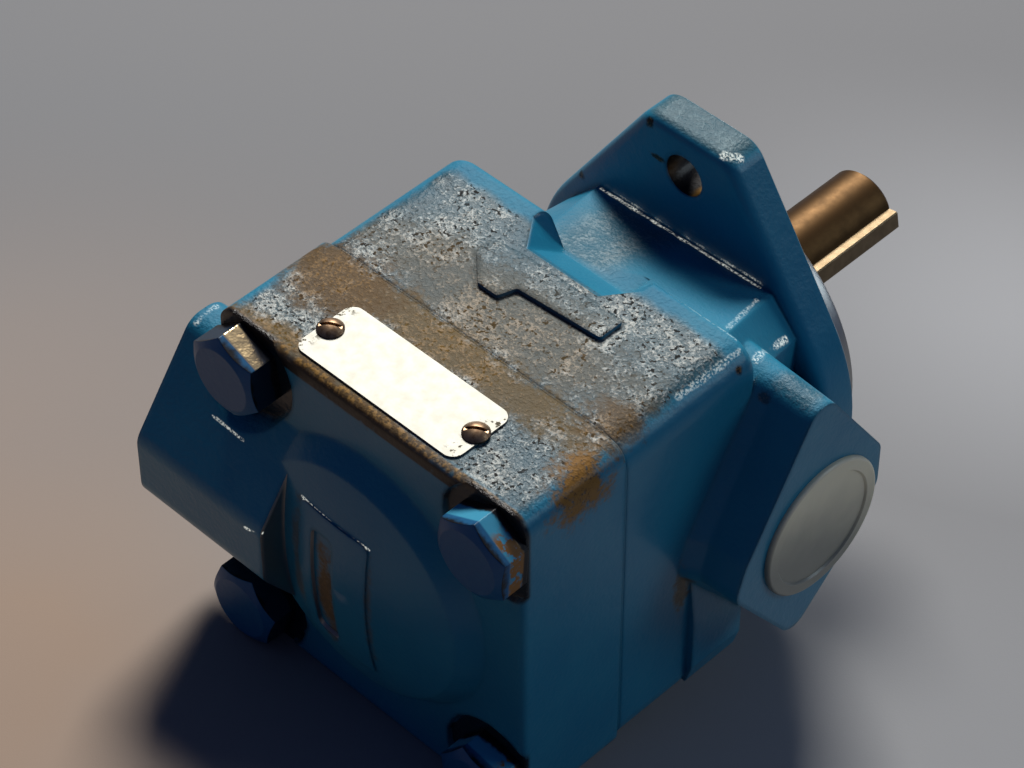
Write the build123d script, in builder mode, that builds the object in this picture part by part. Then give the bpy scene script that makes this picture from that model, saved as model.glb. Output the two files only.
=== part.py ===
from build123d import *
from math import cos, radians, sin, tan
import os

os.makedirs("parts", exist_ok=True)

# Fixed displacement vane pump with a two-bolt mounting flange, sizes in millimetres.
# The origin is the centre of the mounting face. +Y runs out along the shaft, +Z is the side
# with the cast direction arrow and +X is the inlet side. Depths are measured behind that face.

# running and assembly clearances
slip = 0.05
press = 0.02

# mounting flange
flange_thickness = 10.5
flange_radius = 46.5
flange_edge_round = 2.6
flange_edge_chamfer = 0.6
ear_height = 65.0
ear_flat = 9.0
ear_corner = 7.0
mount_hole_spacing = 106.4
mount_hole_radius = 5.55
pilot_radius = 41.275
pilot_height = 6.35

# body and cover blocks
block_half_width = 47.5
block_top = 50.3
block_bottom = 50.0
body_corner = 8.0
body_edge_round = 3.0
cover_corner = 5.0
cover_edge_round = 1.6
joint_chamfer = 0.4
shoulder_depth = 37.2
joint_depth = 79.7
cover_length = 31.6

# neck between the flange and the block
neck_front_half = 26.8
neck_front_top = 33.0
neck_rear_half = 38.0
neck_rear_top = 48.0
neck_rear_left_half = 21.0
neck_rear_left_top = 38.5
neck_cut_across = 7.6
neck_cut_down = 9.0

# ramp that leads from the top of the block down to the neck
ramp_length = 13.3
ramp_depth = 9.6
ramp_top_half = 17.2
ramp_bottom_half = 11.0
ramp_side_depth = 4.8

# inlet port on the +X side of the body
inlet_depth = 31.1
inlet_face = 62.9
inlet_root = 34.0
inlet_thread_radius = 16.67
inlet_thread_length = 20.0
inlet_passage_radius = 10.5
inlet_boss_draft = 3.0
inlet_corner = 5.0
inlet_flare_height = 6.0
inlet_flare_spread = 1.07

# low swelling over the inlet passage, on the side of the block below the boss
swell_height = 1.8
swell_fade = 16.0
swell_setback = 22.7
swell_top = 8.0
swell_bottom = 46.0

# plug cap in the inlet port
cap_radius = 18.5
cap_rim = 1.3
cap_dish = 0.5
cap_length = 9.0
cap_wall = 1.3

# outlet port on the -X side of the cover
outlet_setback = 23.8
outlet_face = 61.5
outlet_thread_radius = 9.53
outlet_thread_length = 16.0
outlet_passage_radius = 7.0
outlet_boss_reach = 22.8
outlet_boss_top = 34.0
outlet_facet_half = 8.0
outlet_boss_end = 20.0
outlet_corner = 6.0

# rear of the cover
dome_radius = 36.0
dome_top_radius = 31.5
dome_side_height = 5.0
dome_height = 9.6
dome_wall = 8.9
pad_centre = -3.0
pad_width = 22.0
pad_top = 19.0
pad_bottom = 24.0
pad_height = 0.5
pad_groove_centre = -6.0
pad_groove_width = 7.0
pad_groove_top = 13.5
pad_groove_bottom = 20.0
pad_groove_depth = 1.0

# cover bolts
bolt_offset = 38.4
bolt_radius = 6.35
bolt_hole_radius = 6.75
bolt_head_flats = 19.05
bolt_head_height = 8.7
bolt_head_cone = 30.0
bolt_face_share = 0.43
bolt_engagement = 21.7
spot_face_radius = 14.6
spot_face_depth = 1.0
spot_face_draft = 20.0

# raised direction arrow on the body
arrow_height = 1.0
arrow_setback = 23.2
arrow_stem_width = 7.4
arrow_stem_end = 21.0
arrow_neck = -3.5
arrow_tip = -18.5

# nameplate and its drive screws
plate_length = 49.5
plate_width = 18.3
plate_thickness = 0.5
plate_corner = 3.0
plate_setback = 19.5
plate_centre = -0.9
plate_screw_spacing = 45.0
plate_screw_head_radius = 3.2
plate_screw_head_height = 1.7
plate_screw_radius = 1.6
plate_screw_length = 6.0

# shaft
shaft_radius = 9.525
shaft_reach = 58.0
shaft_chamfer = 0.9
key_width = 4.76
key_length = 46.0
key_angle = 11.0
key_setback = 1.0
collar_radius = 12.5
collar_length = 10.0
spindle_radius = 11.6
journal_radius = 8.0
spline_root_radius = 9.6
spline_tooth_radius = 11.2
spline_tooth_width = 3.6
spline_teeth = 6

# front ball bearing
bearing_bore_radius = 10.0
bearing_outer_radius = 23.5
bearing_width = 14.0
race_wall = 2.78
ball_count = 8
cage_thickness = 1.6
cage_rim = 1.03
ring_wire = 1.2
ring_depth = 2.2
ring_opening = 90.0

# shaft seal
seal_radius = 19.0
seal_width = 7.0
seal_seat_length = 8.0

# pumping cartridge
chamber_radius = 31.0
chamber_front = 26.0
kidney_wall = 6.0
cartridge_recess = 32.7
cartridge_radius = 39.5
cam_width = 24.0
cam_minor_radius = 28.7
cam_lift = 3.0
rotor_radius = 28.3
rotor_side_gap = 0.03
vane_count = 12
vane_thickness = 2.4
vane_height = 11.5
vane_tip_gap = 0.15
under_vane_radius = 1.9
kidney_radius = 26.3
kidney_width = 5.0
kidney_sweep = 46.0
plate_thick = 13.0
plate_bore_radius = 10.5
plate_web = 2.0
pin_radius = 1.5
pin_offset = 34.5
pin_seat = 4.0

# pressure chamber behind the plate
spring_pocket_radius = 28.0
spring_height = 4.0
spring_inner_radius = 17.0
spring_gauge = 1.5
outlet_chamber_radius = 14.0

# seal rings
cover_ring_radius = 43.0
cover_ring_wire = 1.3
plate_ring_wire = 1.2

# places that follow from the sizes above
cover_depth = joint_depth + cover_length
outlet_depth = joint_depth + outlet_setback
plate_depth = joint_depth + plate_setback
arrow_depth = joint_depth - arrow_setback
bolt_reach = joint_depth - bolt_engagement
ramp_depth_end = shoulder_depth + ramp_length
ball_pitch_radius = (bearing_bore_radius + bearing_outer_radius) / 2
ball_radius = ball_pitch_radius - bearing_bore_radius - race_wall
cage_width = 2 * (ball_radius + cage_rim)
cartridge_front = joint_depth - cartridge_recess
chamber_rear = cartridge_front - kidney_wall
outlet_chamber_end = cover_depth + dome_height - dome_wall
cam_outer_radius = cartridge_radius - slip
cam_rear = cartridge_front + cam_width
plate_rear = cam_rear + plate_thick
vane_pitch = 360 / vane_count
vane_start = vane_pitch / 2
seal_front = bearing_width + 0.4
slot_floor = cam_minor_radius - vane_tip_gap - vane_height - 0.4
vane_tip = cam_minor_radius - vane_tip_gap
# the chambers grow past +Z and -Z, where the arrow moves them, and shrink past +X and -X
inlet_kidneys = (135, 315)
outlet_kidneys = (45, 225)


# distance of the cam surface from the axis, at an angle in degrees from +X towards +Z
def cam_surface(angle):
    return cam_minor_radius + cam_lift * (1 + cos(radians(2 * angle))) / 2


# corners of the inlet boss about the port, spread away from its front corner
def inlet_lozenge(spread):
    corners = [(-2, 44), (20.5, 11), (20.5, -1), (13, -14), (-7, -32.5), (-28, -4), (-25, 5)]
    front, middle = corners[1]
    return [(front - spread * (front - y), middle - (1 + spread) / 2 * (middle - z)) for y, z in corners]


# outline of the neck: a block with its four corners cut, its top left corner set by itself
def neck_outline(half, top, left_half, left_top):
    side = half + neck_cut_across
    low = top - neck_cut_down
    left_side = max(left_half + neck_cut_across, neck_front_half + neck_cut_across)
    return [
        (half, top), (side, low), (side, -low), (half, -top), (-half, -top), (-side, -low),
        (-left_side, left_top - neck_cut_down), (-left_half, left_top)]


# the raised rear of the cover, or the same form a little higher or lower
def dome_form(rise):
    with BuildPart() as form:
        with BuildSketch(Plane.XY):
            with BuildLine():
                Polyline((0, -cover_depth - dome_height - rise), (0, -cover_depth), (dome_radius, -cover_depth),
                         (dome_top_radius, -cover_depth - dome_side_height - rise))
                TangentArc((0, -cover_depth - dome_height - rise),
                           (dome_top_radius, -cover_depth - dome_side_height - rise), tangent=(1, 0))
            make_face()
        revolve(axis=Axis.Y)
    return form.part


# a ring of round section about the shaft axis
def round_ring(radius, wire, depth):
    with BuildPart() as ring:
        with BuildSketch(Plane.XY):
            with Locations((radius, -depth)):
                Circle(wire)
        revolve(axis=Axis.Y)
    return ring.part


# a turned piece between two radii and two depths
def turned(inner, outer, front, rear):
    with BuildPart() as piece:
        with BuildSketch(Plane.XZ.offset(front)):
            Circle(outer)
            Circle(inner, mode=Mode.SUBTRACT)
        extrude(amount=rear - front)
    return piece.part


# flange with two ears, its rear rim rounded
with BuildPart() as flange:
    with BuildSketch(Plane.XZ):
        Circle(flange_radius)
        with GridLocations(2 * ear_flat, 2 * (ear_height - ear_corner), 2, 2):
            Circle(ear_corner)
        make_hull()
    extrude(amount=flange_thickness)
    fillet(flange.faces().sort_by(Axis.Y)[0].edges(), radius=flange_edge_round)
    chamfer(flange.faces().sort_by(Axis.Y)[-1].edges(), length=flange_edge_chamfer)

with BuildPart() as body:
    # block between the shoulder and the joint
    with BuildSketch(Plane.XZ.offset(shoulder_depth)):
        with Locations((0, (block_top - block_bottom) / 2)):
            RectangleRounded(2 * block_half_width, block_top + block_bottom, body_corner)
    extrude(amount=joint_depth - shoulder_depth)
    fillet(body.faces().sort_by(Axis.Y)[-1].edges(), radius=body_edge_round)
    chamfer(body.faces().sort_by(Axis.Y)[0].edges(), length=joint_chamfer)
    # neck that narrows towards the flange
    with BuildSketch(Plane.XZ.offset(flange_thickness / 2)):
        Polygon(*neck_outline(neck_front_half, neck_front_top, neck_front_half, neck_front_top), align=None)
    with BuildSketch(Plane.XZ.offset(shoulder_depth + body_edge_round)):
        Polygon(*neck_outline(neck_rear_half, neck_rear_top, neck_rear_left_half, neck_rear_left_top), align=None)
    loft(ruled=True)
    # ramp from the top of the block down to the neck
    with BuildSketch(Plane.XY.offset(block_top)):
        Polygon(
            (-ramp_top_half, -shoulder_depth + 6), (-ramp_top_half, -shoulder_depth - ramp_side_depth),
            (-ramp_bottom_half, -ramp_depth_end), (ramp_bottom_half, -ramp_depth_end),
            (ramp_top_half, -shoulder_depth - ramp_side_depth), (ramp_top_half, -shoulder_depth + 6), align=None)
    with BuildSketch(Plane.XY.offset(block_top - ramp_depth)):
        Polygon(
            (-ramp_bottom_half - 1, -shoulder_depth + 6), (-ramp_bottom_half - 1, -shoulder_depth),
            (-ramp_bottom_half, -shoulder_depth - 1), (ramp_bottom_half - 3, -shoulder_depth - 1),
            (ramp_bottom_half - 2, -shoulder_depth), (ramp_bottom_half - 2, -shoulder_depth + 6), align=None)
    loft(ruled=True, mode=Mode.SUBTRACT)
    add(flange.part)
    # inlet boss, a leaning lozenge that reaches further up than down
    with BuildSketch(Plane.YZ.offset(inlet_face)) as inlet_outline:
        with Locations((-inlet_depth, 0)):
            Polygon(*inlet_lozenge(1), align=None)
        fillet(inlet_outline.vertices(), radius=inlet_corner)
    extrude(amount=inlet_root - inlet_face, taper=-inlet_boss_draft)
    # the foot of the boss spreads over the side of the block
    with BuildSketch(Plane.YZ.offset(block_half_width + inlet_flare_height)) as flare_top:
        with Locations((-inlet_depth, 0)):
            Polygon(*inlet_lozenge(1), align=None)
        fillet(flare_top.vertices(), radius=inlet_corner)
    with BuildSketch(Plane.YZ.offset(block_half_width - 1)) as flare_foot:
        with Locations((-inlet_depth, 0)):
            Polygon(*inlet_lozenge(inlet_flare_spread), align=None)
        fillet(flare_foot.vertices(), radius=inlet_corner)
    loft(ruled=True)
    # low swelling over the inlet passage, which fades out upwards
    with BuildSketch(Plane.XZ.offset(shoulder_depth + body_edge_round)):
        Polygon(
            (block_half_width - 1, -swell_top), (block_half_width, -swell_top),
            (block_half_width + swell_height, -swell_top - swell_fade),
            (block_half_width + swell_height, -swell_bottom + 6), (block_half_width, -swell_bottom),
            (block_half_width - 1, -swell_bottom), align=None)
    extrude(amount=joint_depth - swell_setback - shoulder_depth - body_edge_round)
    # pilot spigot
    with BuildSketch(Plane.XZ):
        Circle(pilot_radius)
    extrude(amount=-pilot_height)
    chamfer(body.faces().sort_by(Axis.Y)[-1].edges(), length=0.8)
    # arrow cast in relief
    with BuildSketch(Plane.XY.offset(block_top)) as arrow_outline:
        with Locations((0, -arrow_depth)):
            Polygon(
                (arrow_stem_end, -arrow_stem_width / 2), (arrow_stem_end, arrow_stem_width / 2),
                (arrow_neck - 5, arrow_stem_width / 2), (arrow_tip + 1.5, 2.6), (arrow_tip, -2.2),
                (arrow_neck - 6.8, -10.1), (arrow_neck - 0.9, -10.1),
                (arrow_neck + 0.7, -arrow_stem_width / 2 - 1.6),
                align=None)
        fillet(arrow_outline.vertices(), radius=0.9)
    extrude(amount=arrow_height)
    # turned bores along the axis
    with BuildSketch(Plane.XY):
        with BuildLine():
            Polyline(
                (0, pilot_height), (bearing_outer_radius + press, pilot_height),
                (bearing_outer_radius + press, ring_wire + slip), (bearing_outer_radius + 1.3, ring_wire + slip),
                (bearing_outer_radius + 1.3, 0), (bearing_outer_radius + press, 0),
                (bearing_outer_radius + press, -bearing_width), (seal_radius + press, -bearing_width),
                (seal_radius + press, -bearing_width - seal_seat_length),
                (collar_radius + 1.5, -bearing_width - seal_seat_length), (collar_radius + 1.5, -chamber_front),
                (chamber_radius, -chamber_front), (chamber_radius, -chamber_rear),
                (spindle_radius + 1.4, -chamber_rear), (spindle_radius + 1.4, -cartridge_front),
                (cartridge_radius, -cartridge_front), (cartridge_radius, -joint_depth), (0, -joint_depth),
                close=True)
        make_face()
    revolve(axis=Axis.Y, mode=Mode.SUBTRACT)
    # inlet thread bore, its passage, and the two kidneys that feed the rotor
    with BuildSketch(Plane.YZ.offset(inlet_face)):
        with Locations((-inlet_depth, 0)):
            Circle(inlet_thread_radius)
    extrude(amount=-inlet_thread_length, mode=Mode.SUBTRACT)
    with BuildSketch(Plane.YZ.offset(inlet_face)):
        with Locations((-inlet_depth - 2.5, 0)):
            SlotCenterToCenter(2 * inlet_passage_radius, 1.2 * inlet_passage_radius, rotation=90)
    extrude(amount=-inlet_face + collar_radius, mode=Mode.SUBTRACT)
    with BuildSketch(Plane.XZ.offset(chamber_rear)):
        for middle in inlet_kidneys:
            SlotArc(CenterArc((0, 0), kidney_radius, middle - kidney_sweep / 2, kidney_sweep), kidney_width)
    extrude(amount=cartridge_front - chamber_rear, mode=Mode.SUBTRACT)
    # mounting holes, cover bolt holes and dowel holes
    with BuildSketch(Plane.XZ):
        with GridLocations(0, mount_hole_spacing, 1, 2):
            Circle(mount_hole_radius)
    extrude(amount=flange_thickness, mode=Mode.SUBTRACT)
    with BuildSketch(Plane.XZ.offset(joint_depth)):
        with GridLocations(2 * bolt_offset, 2 * bolt_offset, 2, 2):
            Circle(bolt_radius + press)
    extrude(amount=-(joint_depth - bolt_reach + 3), mode=Mode.SUBTRACT)
    with BuildSketch(Plane.XZ.offset(cartridge_front)):
        with GridLocations(0, 2 * pin_offset, 1, 2):
            Circle(pin_radius + press)
    extrude(amount=-pin_seat, mode=Mode.SUBTRACT)
body.part.label = "body"
export_step(body.part, "parts/body.step")

# pad on the dome, as high as the raised form above it
with BuildPart() as rear_pad:
    with BuildSketch(Plane.XZ.offset(cover_depth - 2)):
        with Locations((pad_centre, (pad_top - pad_bottom) / 2)):
            RectangleRounded(pad_width, pad_top + pad_bottom, 2)
    extrude(amount=2 * dome_height)
    add(dome_form(pad_height), mode=Mode.INTERSECT)

# what the groove in the pad takes away
with BuildPart() as pad_groove:
    with BuildSketch(Plane.XZ.offset(cover_depth)):
        with Locations((pad_groove_centre, (pad_groove_top - pad_groove_bottom) / 2)):
            RectangleRounded(pad_groove_width, pad_groove_top + pad_groove_bottom, 2)
    extrude(amount=2 * dome_height)
    add(dome_form(pad_height - pad_groove_depth), mode=Mode.SUBTRACT)

# face of the outlet boss, centred on its port
outlet_plane = Plane(origin=(-outlet_face, -outlet_depth, 0), x_dir=(0, 1, 0), z_dir=(1, 0, 0))

# outlet boss, a six-sided bar across the rear
with BuildPart() as outlet_boss:
    with BuildSketch(outlet_plane):
        Polygon(
            (-outlet_boss_reach, outlet_facet_half), (-4, outlet_boss_top), (4, outlet_boss_top),
            (outlet_boss_reach, outlet_facet_half), (outlet_boss_reach, -outlet_facet_half),
            (4, -outlet_boss_top), (-4, -outlet_boss_top), (-outlet_boss_reach, -outlet_facet_half), align=None)
    extrude(amount=outlet_face - outlet_boss_end)
    fillet(outlet_boss.edges().filter_by(Axis.X), radius=outlet_corner)

with BuildPart() as cover:
    # block behind the joint
    with BuildSketch(Plane.XZ.offset(joint_depth)):
        with Locations((0, (block_top - block_bottom) / 2)):
            RectangleRounded(2 * block_half_width, block_top + block_bottom, cover_corner)
    extrude(amount=cover_length)
    fillet(cover.faces().sort_by(Axis.Y)[0].edges(), radius=cover_edge_round)
    chamfer(cover.faces().sort_by(Axis.Y)[-1].edges(), length=joint_chamfer)
    add(outlet_boss.part)
    # domed rear with a raised pad that has a sunk groove in it
    add(dome_form(0))
    add(rear_pad.part)
    add(pad_groove.part, mode=Mode.SUBTRACT)
    # spot faces and clearance holes for the bolts
    with BuildSketch(Plane.XZ.offset(cover_depth - spot_face_depth)):
        with GridLocations(2 * bolt_offset, 2 * bolt_offset, 2, 2):
            Circle(spot_face_radius)
    extrude(amount=outlet_boss_reach, taper=-spot_face_draft, mode=Mode.SUBTRACT)
    with BuildSketch(Plane.XZ.offset(joint_depth)):
        with GridLocations(2 * bolt_offset, 2 * bolt_offset, 2, 2):
            Circle(bolt_hole_radius)
    extrude(amount=cover_depth - joint_depth, mode=Mode.SUBTRACT)
    # plate bore, spring pocket and outlet chamber
    with BuildSketch(Plane.XY):
        with BuildLine():
            Polyline(
                (0, -joint_depth), (cartridge_radius, -joint_depth), (cartridge_radius, -plate_rear - 1),
                (spring_pocket_radius, -plate_rear - 1), (spring_pocket_radius, -plate_rear - spring_height),
                (outlet_chamber_radius, -plate_rear - spring_height),
                (outlet_chamber_radius, -outlet_chamber_end), (0, -outlet_chamber_end), close=True)
        make_face()
    revolve(axis=Axis.Y, mode=Mode.SUBTRACT)
    # outlet thread bore and passage
    with BuildSketch(outlet_plane):
        Circle(outlet_thread_radius)
    extrude(amount=outlet_thread_length, mode=Mode.SUBTRACT)
    with BuildSketch(outlet_plane):
        Circle(outlet_passage_radius)
    extrude(amount=outlet_face, mode=Mode.SUBTRACT)
    # seal groove in the joint face
    with BuildSketch(Plane.XZ.offset(joint_depth)):
        Circle(cover_ring_radius + cover_ring_wire + slip)
        Circle(cover_ring_radius - cover_ring_wire - slip, mode=Mode.SUBTRACT)
    extrude(amount=2 * cover_ring_wire, mode=Mode.SUBTRACT)
    # holes for the nameplate screws
    with BuildSketch(Plane.XY.offset(block_top)):
        with Locations((plate_centre, -plate_depth)):
            with GridLocations(plate_screw_spacing, 0, 2, 1):
                Circle(plate_screw_radius + press)
    extrude(amount=-plate_screw_length, mode=Mode.SUBTRACT)
cover.part.label = "cover"
export_step(cover.part, "parts/cover.step")

# one hexagon head bolt, with its seat at the origin and its shank along -Z
bolt_face_radius = bolt_face_share * bolt_head_flats
bolt_cone_radius = 0.6 * bolt_head_flats
bolt_cone_drop = (bolt_cone_radius - bolt_face_radius) * tan(radians(bolt_head_cone))
with BuildPart() as bolt:
    with BuildSketch():
        RegularPolygon(bolt_head_flats / 2, 6, major_radius=False)
    extrude(amount=bolt_head_height)
    # a shallow cone turns the corners of the head
    with BuildSketch(Plane.XZ):
        with BuildLine():
            Polyline(
                (0, 0), (bolt_cone_radius, 0), (bolt_cone_radius, bolt_head_height - bolt_cone_drop),
                (bolt_face_radius, bolt_head_height), (0, bolt_head_height), close=True)
        make_face()
    revolve(axis=Axis.Z, mode=Mode.INTERSECT)
    with BuildSketch():
        Circle(bolt_radius)
    extrude(amount=bolt_reach - cover_depth + spot_face_depth)

# each bolt stopped at its own turn
with BuildPart(Plane.XZ.offset(cover_depth - spot_face_depth)) as cover_bolts:
    for across, up, turn in ((1, 1, 27), (-1, 1, 39), (-1, -1, 12), (1, -1, 50)):
        with Locations(Location((across * bolt_offset, up * bolt_offset, 0), (0, 0, turn))):
            add(bolt.part)
cover_bolts.part.label = "cover_bolts"
export_step(cover_bolts.part, "parts/cover_bolts.step")

with BuildPart() as nameplate:
    with BuildSketch(Plane.XY.offset(block_top)):
        with Locations((plate_centre, -plate_depth)):
            RectangleRounded(plate_length, plate_width, plate_corner)
            with GridLocations(plate_screw_spacing, 0, 2, 1):
                Circle(plate_screw_radius + slip, mode=Mode.SUBTRACT)
    extrude(amount=plate_thickness)
nameplate.part.label = "nameplate"
export_step(nameplate.part, "parts/nameplate.step")

# one round head drive screw with a slot, its seat at the origin
with BuildPart() as drive_screw:
    with BuildSketch(Plane.XZ):
        with BuildLine():
            Line((0, 0), (plate_screw_head_radius, 0))
            Line((plate_screw_head_radius, 0), (plate_screw_head_radius, 0.35))
            TangentArc((0, plate_screw_head_height), (plate_screw_head_radius, 0.35), tangent=(1, 0))
            Line((0, plate_screw_head_height), (0, 0))
        make_face()
    revolve(axis=Axis.Z)
    with BuildSketch(Plane.XY.offset(plate_screw_head_height)):
        Rectangle(2 * plate_screw_head_radius, 0.9, rotation=35)
    extrude(amount=-0.9, mode=Mode.SUBTRACT)
    with BuildSketch():
        Circle(plate_screw_radius)
    extrude(amount=plate_thickness - plate_screw_length)

with BuildPart(Plane.XY.offset(block_top + plate_thickness)) as nameplate_screws:
    with Locations((plate_centre, -plate_depth)):
        with GridLocations(plate_screw_spacing, 0, 2, 1):
            add(drive_screw.part)
nameplate_screws.part.label = "nameplate_screws"
export_step(nameplate_screws.part, "parts/nameplate_screws.step")

with BuildPart() as inlet_cap:
    # plug body, a thin cup that fits the port, under a flat dished rim
    with BuildSketch(Plane.YZ.offset(inlet_face)) as cap_seat:
        with Locations((-inlet_depth, 0)):
            Circle(inlet_thread_radius - 2 * slip)
    extrude(amount=-cap_length, taper=1.5)
    with BuildSketch(Plane.YZ.offset(inlet_face)):
        with Locations((-inlet_depth, 0)):
            Circle(cap_radius)
    extrude(amount=cap_rim)
    fillet(inlet_cap.faces().sort_by(Axis.X)[-1].edges(), radius=cap_rim * 0.6)
    with BuildSketch(Plane.YZ.offset(inlet_face + cap_rim)):
        with Locations((-inlet_depth, 0)):
            Circle(cap_radius - 3.2)
    extrude(amount=-cap_dish, taper=40, mode=Mode.SUBTRACT)
    with BuildSketch(Plane.YZ.offset(inlet_face - cap_length)):
        with Locations((-inlet_depth, 0)):
            Circle(inlet_thread_radius - cap_wall - 0.6)
    extrude(amount=cap_length - cap_dish, taper=-1.5, mode=Mode.SUBTRACT)
inlet_cap.part.label = "inlet_cap"
export_step(inlet_cap.part, "parts/inlet_cap.step")

key_plane = Plane(
    origin=(0, shaft_reach - key_setback, 0), x_dir=(cos(radians(key_angle)), 0, sin(radians(key_angle))),
    z_dir=(0, -1, 0))

with BuildPart() as shaft:
    with BuildSketch(Plane.XY):
        with BuildLine():
            Polyline(
                (0, shaft_reach), (shaft_radius - shaft_chamfer, shaft_reach),
                (shaft_radius, shaft_reach - shaft_chamfer),
                (shaft_radius, 2 * ring_wire), (bearing_bore_radius, 2 * ring_wire),
                (bearing_bore_radius, ring_wire + slip), (bearing_bore_radius - 0.7, ring_wire + slip),
                (bearing_bore_radius - 0.7, 0), (bearing_bore_radius, 0),
                (bearing_bore_radius, -bearing_width), (collar_radius, -bearing_width),
                (collar_radius, -bearing_width - collar_length), (spindle_radius, -bearing_width - collar_length),
                (spindle_radius, -cartridge_front), (spline_root_radius, -cartridge_front),
                (spline_root_radius, -cam_rear), (journal_radius, -cam_rear),
                (journal_radius, -plate_rear + plate_web + 1), (0, -plate_rear + plate_web + 1), close=True)
        make_face()
    revolve(axis=Axis.Y)
    with BuildSketch(Plane.XZ.offset(cartridge_front)):
        with PolarLocations(spline_tooth_radius / 2, spline_teeth):
            Rectangle(spline_tooth_radius, spline_tooth_width)
    extrude(amount=cam_width)
    with BuildSketch(key_plane):
        with Locations((shaft_radius, 0)):
            Rectangle(key_width + 2 * slip, key_width + 2 * slip)
    extrude(amount=key_length + slip, mode=Mode.SUBTRACT)
    with BuildSketch(key_plane):
        with Locations((shaft_radius, 0)):
            Rectangle(key_width + 2 * slip, key_width + 2 * slip)
    extrude(amount=-key_setback, mode=Mode.SUBTRACT)
shaft.part.label = "shaft"
export_step(shaft.part, "parts/shaft.step")

with BuildPart() as shaft_key:
    with BuildSketch(key_plane):
        with Locations((shaft_radius, 0)):
            Rectangle(key_width, key_width)
    extrude(amount=key_length)
    chamfer(shaft_key.edges().filter_by(Axis.Y), length=0.3)
shaft_key.part.label = "shaft_key"
export_step(shaft_key.part, "parts/shaft_key.step")

ball_plane = Plane.XZ.offset(bearing_width / 2)
race_shoulder = 0.6 * ball_radius

with BuildPart() as bearing_outer_race:
    with BuildSketch(Plane.XZ):
        Circle(bearing_outer_radius)
        Circle(ball_pitch_radius + race_shoulder, mode=Mode.SUBTRACT)
    extrude(amount=bearing_width)
    with BuildSketch(Plane.XY):
        with Locations((ball_pitch_radius, -bearing_width / 2)):
            Circle(ball_radius + slip)
    revolve(axis=Axis.Y, mode=Mode.SUBTRACT)
bearing_outer_race.part.label = "bearing_outer_race"
export_step(bearing_outer_race.part, "parts/bearing_outer_race.step")

with BuildPart() as bearing_inner_race:
    with BuildSketch(Plane.XZ):
        Circle(ball_pitch_radius - race_shoulder)
        Circle(bearing_bore_radius + press, mode=Mode.SUBTRACT)
    extrude(amount=bearing_width)
    with BuildSketch(Plane.XY):
        with Locations((ball_pitch_radius, -bearing_width / 2)):
            Circle(ball_radius + slip)
    revolve(axis=Axis.Y, mode=Mode.SUBTRACT)
bearing_inner_race.part.label = "bearing_inner_race"
export_step(bearing_inner_race.part, "parts/bearing_inner_race.step")

with BuildPart(ball_plane) as bearing_balls:
    with PolarLocations(ball_pitch_radius, ball_count):
        Sphere(ball_radius)
bearing_balls.part.label = "bearing_balls"
export_step(bearing_balls.part, "parts/bearing_balls.step")

with BuildPart(ball_plane) as bearing_cage:
    Cylinder(ball_pitch_radius + cage_thickness / 2, cage_width)
    Cylinder(ball_pitch_radius - cage_thickness / 2, cage_width, mode=Mode.SUBTRACT)
    # one round pocket for each ball, bored through the wall of the cage
    with PolarLocations(ball_pitch_radius, ball_count):
        Cylinder(ball_radius + 2 * slip, 4 * cage_thickness, rotation=(0, 90, 0), mode=Mode.SUBTRACT)
bearing_cage.part.label = "bearing_cage"
export_step(bearing_cage.part, "parts/bearing_cage.step")

# split ring in the groove in front of the bearing, with two eyes for the pliers
with BuildPart() as bearing_retaining_ring:
    with BuildSketch(Plane.XZ):
        Circle(bearing_outer_radius + 1.2)
        Circle(bearing_outer_radius - ring_depth, mode=Mode.SUBTRACT)
        with PolarLocations(bearing_outer_radius - ring_depth, 2, ring_opening - 15, 30):
            Circle(2.3)
        with PolarLocations(bearing_outer_radius - ring_depth, 2, ring_opening - 15, 30):
            Circle(0.9, mode=Mode.SUBTRACT)
        with PolarLocations(bearing_outer_radius, 1, start_angle=ring_opening):
            Rectangle(12, 8, mode=Mode.SUBTRACT)
    extrude(amount=-ring_wire)
bearing_retaining_ring.part.label = "bearing_retaining_ring"
export_step(bearing_retaining_ring.part, "parts/bearing_retaining_ring.step")

with BuildPart() as shaft_retaining_ring:
    with BuildSketch(Plane.XZ):
        Circle(bearing_bore_radius + 2.2)
        Circle(bearing_bore_radius - 0.7 + press, mode=Mode.SUBTRACT)
        with PolarLocations(bearing_bore_radius, 1, start_angle=ring_opening):
            Rectangle(9, 5, mode=Mode.SUBTRACT)
    extrude(amount=-ring_wire)
shaft_retaining_ring.part.label = "shaft_retaining_ring"
export_step(shaft_retaining_ring.part, "parts/shaft_retaining_ring.step")

# pressed case with a rubber lip that runs on the shaft collar
with BuildPart() as shaft_seal:
    with BuildSketch(Plane.XY):
        with BuildLine():
            Polyline(
                (seal_radius, -seal_front), (seal_radius, -seal_front - seal_width),
                (seal_radius - 1.2, -seal_front - seal_width), (seal_radius - 1.2, -seal_front - 1.5),
                (collar_radius + 2.2, -seal_front - 1.5), (collar_radius + 1.3, -seal_front - seal_width + 1),
                (collar_radius + slip, -seal_front - seal_width + 2), (collar_radius + 0.8, -seal_front),
                close=True)
        make_face()
    revolve(axis=Axis.Y)
shaft_seal.part.label = "shaft_seal"
export_step(shaft_seal.part, "parts/shaft_seal.step")

with BuildPart() as cam_ring:
    with BuildSketch(Plane.XZ.offset(cartridge_front)):
        Circle(cam_outer_radius)
        with BuildLine():
            Spline(
                [(cam_surface(angle) * cos(radians(angle)), cam_surface(angle) * sin(radians(angle)))
                 for angle in range(0, 360, 15)], periodic=True)
        make_face(mode=Mode.SUBTRACT)
        with GridLocations(0, 2 * pin_offset, 1, 2):
            Circle(pin_radius + press, mode=Mode.SUBTRACT)
    extrude(amount=cam_width)
cam_ring.part.label = "cam_ring"
export_step(cam_ring.part, "parts/cam_ring.step")

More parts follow.
